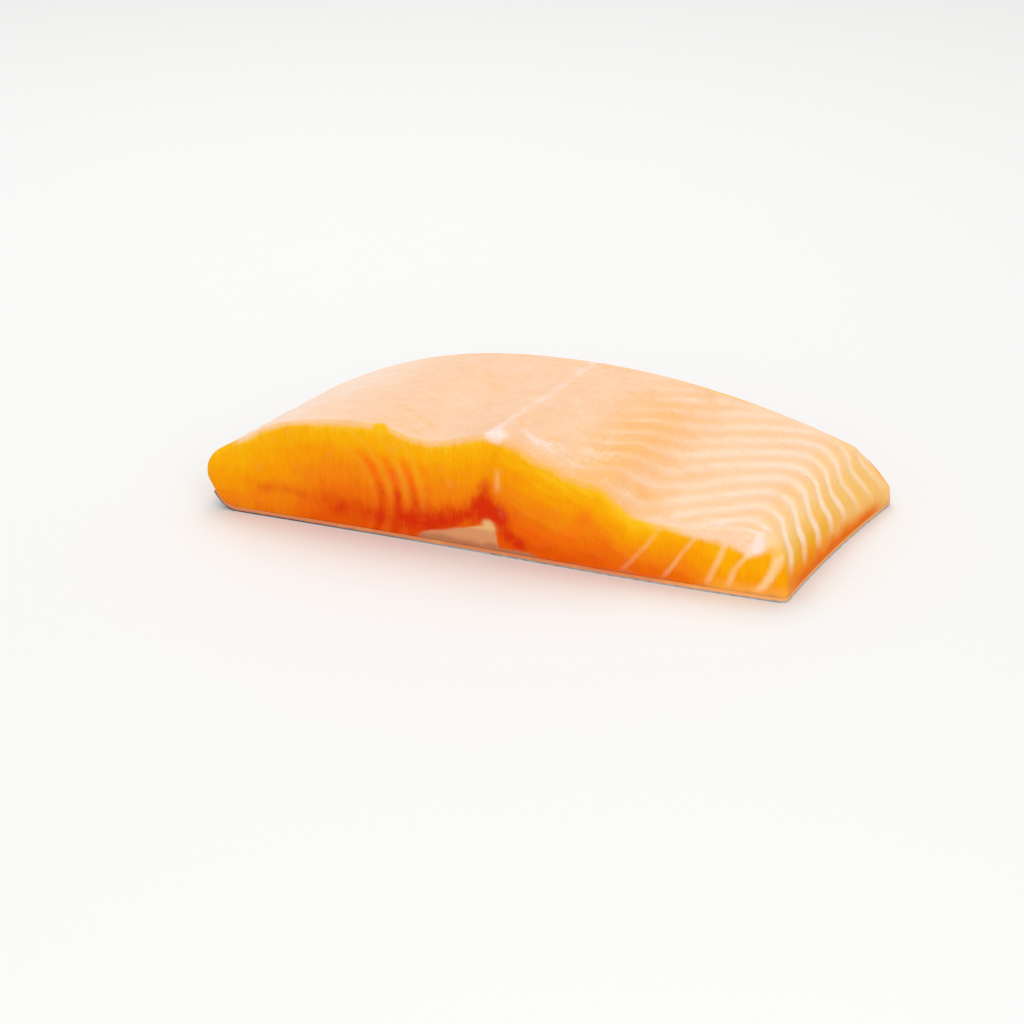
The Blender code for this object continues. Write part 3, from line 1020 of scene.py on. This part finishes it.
def skin_finish(colours):
    """Wet skin: silver scales, darker towards the back of the fish; pale where it was cut."""
    f = Finish("salmon skin")
    split = f.node("ShaderNodeSeparateXYZ")
    f.plug(split.inputs[0], f.place)
    x = f.times(split.outputs["X"], 1.0 / MM)
    mottle = f.grain(0.006, 3.0)
    fine = f.grain(0.0012, 3.0)
    scale = f.field("scale")
    back = f.rise(f.add(x, f.times(mottle, 40.0)), 10.0, -80.0)
    colour = f.blend(back, colours.belly, colours.back)
    colour = f.blend(f.times(f.rise(f.add(mottle, fine), 0.0, 0.35), 0.4), colour, colours.rim)
    colour = f.blend(f.times(f.rise(scale, 0.55, 0.95), 0.55), colour, colours.rim)
    lateral = f.rise(f.math("ABSOLUTE", f.add(x, f.times(mottle, 3.0))), 1.6, 0.3)
    colour = f.blend(f.times(lateral, 0.5), colour, colours.back)
    inside = f.add(f.field("inside"), f.times(mottle, 0.25))
    cut = f.blend(f.rise(f.add(x, f.times(mottle, 30.0)), 40.0, 85.0), colours.edge, colours.corner)
    cut = f.blend(f.times(f.rise(mottle, 0.0, 0.25), 0.5), cut, colours.corner)
    on_cut = f.rise(inside, 0.20, 0.42)
    f.plug(f.shader.inputs["Base Color"], f.blend(on_cut, colour, cut))
    f.plug(f.shader.inputs["Metallic"], f.times(f.less(1.0, on_cut), 0.3))
    f.plug(f.shader.inputs["Roughness"], f.add(0.36, f.times(mottle, 0.2), f.times(on_cut, 0.2)))
    relief = f.bump(fine, 0.15 * MM)
    f.plug(f.shader.inputs["Normal"], f.bump(scale, 0.25 * MM, under=relief))
    return f.material


def floor_finish(colour):
    f = Finish("studio floor")
    speck = f.grain(0.03, 4.0)
    f.plug(f.shader.inputs["Base Color"], colour)
    f.plug(f.shader.inputs["Roughness"], f.add(0.6, f.times(speck, 0.1)))
    f.plug(f.shader.inputs["Specular IOR Level"], 0.2)
    return f.material


# ================================ settings ======================================================


def colour(name, description, *picked):
    return FloatVectorProperty(
        name=name, description=description, default=srgb(*picked), subtype="COLOR", min=0, max=1
    )


class FleshSettings(bpy.types.PropertyGroup):
    rim: colour("Rim", "Cut flesh just under the rim", 249, 188, 26)
    golden: colour("Golden", "Upper part of the cuts", 247, 173, 8)
    amber: colour("Amber", "Below the golden part", 245, 153, 6)
    middle: colour("Middle", "Half way down the cuts", 241, 134, 14)
    low: colour("Low", "Lower part of the cuts", 237, 112, 10)
    foot: colour("Foot", "Foot of the cuts", 230, 92, 6)
    streak: colour("Streaks", "Redder flesh between the rings", 248, 106, 16)
    blood: colour("Blood", "Reddest flesh, above the fat", 214, 48, 10)
    corner: colour("Corner", "Belly end of the cuts, at the foot", 250, 168, 70)
    ring: colour("Rings", "Pale lines on the cuts", 255, 214, 160)
    gristle: colour("Gristle", "The fat's darker lower part", 184, 126, 90)
    fat: colour("Fat", "Pale fat at the foot", 216, 158, 112)
    knob: colour("Knob", "End of the fat", 230, 190, 124)
    # rosy, peach and cream: the top membrane's own colour, made paler by painted sheen
    rosy_and_sheen: colour("Rosy", "Top at the thick edge", 252, 217, 192)
    peach_and_sheen: colour("Peach", "Most of the top", 248, 200, 160)
    cream_and_sheen: colour("Cream", "Paler patches of the top", 251, 210, 174)
    tan: colour("Tan", "Top over the belly's shoulder", 247, 180, 96)
    honey: colour("Honey", "Top beside the belly wall", 249, 202, 132)
    upper: colour("Upper wall", "Belly wall near the top", 247, 190, 94)
    side: colour("Side", "Belly wall half way down", 244, 172, 34)
    far: colour("Far wall", "Belly wall towards the back cut", 248, 196, 116)
    line: colour("Lines", "Pale lines on the outside", 255, 224, 196)
    # the midline's colour is also the colour of the painted highlights on the pale spots
    midline_and_highlight: colour("Midline", "Line along the middle, and pale spots", 255, 226, 212)


class SkinSettings(bpy.types.PropertyGroup):
    back: colour("Back", "Skin towards the back of the fish", 70, 80, 88)
    belly: colour("Belly", "Skin of the belly", 176, 182, 184)
    rim: colour("Scale rims", "Between the scales", 118, 126, 130)
    edge: colour("Cut edge", "Where the skin was cut through", 222, 132, 78)
    corner: colour("Belly cut edge", "The same, at the belly", 244, 168, 92)


class StageSettings(bpy.types.PropertyGroup):
    floor: colour("Floor", "Colour of the floor", 240, 240, 239)
    azimuth: FloatProperty(
        name="Azimuth", description="Camera round the fillet", default=math.radians(22.44),
        subtype="ANGLE", unit="ROTATION",
    )
    elevation: FloatProperty(
        name="Elevation", description="Camera above the floor", default=math.radians(22.48),
        subtype="ANGLE", unit="ROTATION",
    )
    distance: FloatProperty(
        name="Distance", description="Camera to its target", default=1.0502, min=0.3,
        subtype="DISTANCE", unit="LENGTH",
    )
    focal: FloatProperty(
        name="Focal length", description="Focal length on a 36 mm sensor", default=109.11,
        subtype="DISTANCE_CAMERA", unit="CAMERA",
    )
    sky: FloatProperty(name="Sky", description="Strength of the white sky", default=0.76, min=0)
    key: FloatProperty(name="Key", description="Power of the light above", default=3.2, min=0)
    fill: FloatProperty(name="Fill", description="Power of the light in front", default=3.5, min=0)


# ================================ operators =====================================================


class FILLET_OT_flesh(bpy.types.Operator):
    """Model and colour the flesh"""

    bl_idname = "fillet.flesh"
    bl_label = "Flesh"

    def execute(self, context):
        piece = divided_block("salmon_flesh", "flesh", FLESH_CELLS, keep_coarse_below=True)
        shape_flesh(piece.data)
        finish_piece(piece, flesh_finish(context.scene.fillet_flesh), "flesh")
        return {"FINISHED"}


class FILLET_OT_skin(bpy.types.Operator):
    """Model and colour the skin under the flesh"""

    bl_idname = "fillet.skin"
    bl_label = "Skin"

    def execute(self, context):
        piece = divided_block("salmon_skin", "skin", SKIN_CELLS, keep_coarse_below=False)
        shape_skin(piece.data)
        finish_piece(piece, skin_finish(context.scene.fillet_skin), "skin")
        return {"FINISHED"}


def area_light(name, place, target, power):
    bpy.ops.object.light_add(type="AREA", location=place)
    light = bpy.context.object
    light.name = name
    light.data.size = LIGHT_SIZE
    light.data.energy = power
    light.rotation_euler = (target - Vector(place)).to_track_quat("-Z", "Y").to_euler()


class FILLET_OT_stage(bpy.types.Operator):
    """Add the floor, the soft light and the camera"""

    bl_idname = "fillet.stage"
    bl_label = "Stage"

    def execute(self, context):
        stage = context.scene.fillet_stage
        centre = (CAD_LOW + CAD_HIGH) / 2.0
        place = (centre.x, centre.y, CAD_LOW.z)
        bpy.ops.mesh.primitive_plane_add(size=FLOOR_SIZE, location=place)
        floor = context.object
        floor.name = "floor"
        bpy.ops.object.transform_apply(location=True, rotation=False, scale=False)
        floor.data.materials.append(floor_finish(stage.floor))

        world = bpy.data.worlds.new("white sky")
        context.scene.world = world
        world.use_nodes = True
        sky = world.node_tree.nodes["Background"]
        sky.inputs["Color"].default_value = (1.0, 1.0, 1.0, 1.0)
        sky.inputs["Strength"].default_value = stage.sky
        area_light("key", KEY_PLACE, centre, stage.key)
        area_light("fill", FILL_PLACE, centre, stage.fill)

        target = Vector((centre.x + TARGET_SHIFT[0], centre.y + TARGET_SHIFT[1], CAD_LOW.z))
        back = Vector((
            math.sin(stage.azimuth) * math.cos(stage.elevation),
            -math.cos(stage.azimuth) * math.cos(stage.elevation),
            math.sin(stage.elevation),
        ))
        bpy.ops.object.camera_add(location=target + back * stage.distance)
        camera = context.object
        camera.rotation_euler = (-back).to_track_quat("-Z", "Y").to_euler()
        camera.data.lens = stage.focal
        context.scene.camera = camera
        context.scene.view_settings.view_transform = "Standard"
        return {"FINISHED"}


class FILLET_PT_panel(bpy.types.Panel):
    """Everything that makes the fillet, in order"""

    bl_idname = "FILLET_PT_panel"
    bl_label = "Salmon fillet"
    bl_space_type = "VIEW_3D"
    bl_region_type = "UI"
    bl_category = "Fillet"

    def draw(self, context):
        for operator, settings in STEPS:
            self.layout.operator(operator)
            owner = getattr(context.scene, settings)
            for name in owner.bl_rna.properties.keys():
                if name not in ("rna_type", "name"):
                    self.layout.prop(owner, name)


STEPS = (
    ("fillet.flesh", "fillet_flesh"),
    ("fillet.skin", "fillet_skin"),
    ("fillet.stage", "fillet_stage"),
)
SETTINGS = {
    "fillet_flesh": FleshSettings,
    "fillet_skin": SkinSettings,
    "fillet_stage": StageSettings,
}
CLASSES = (FILLET_OT_flesh, FILLET_OT_skin, FILLET_OT_stage, FILLET_PT_panel)


def register():
    for kind in (*SETTINGS.values(), *CLASSES):
        bpy.utils.register_class(kind)
    for name, kind in SETTINGS.items():
        setattr(bpy.types.Scene, name, PointerProperty(type=kind))


def unregister():
    for name in SETTINGS:
        delattr(bpy.types.Scene, name)
    for kind in (*CLASSES, *SETTINGS.values()):
        bpy.utils.unregister_class(kind)


def main():
    register()
    bpy.ops.fillet.flesh()
    bpy.ops.fillet.skin()
    bpy.ops.fillet.stage()


if __name__ == "__main__":
    main()
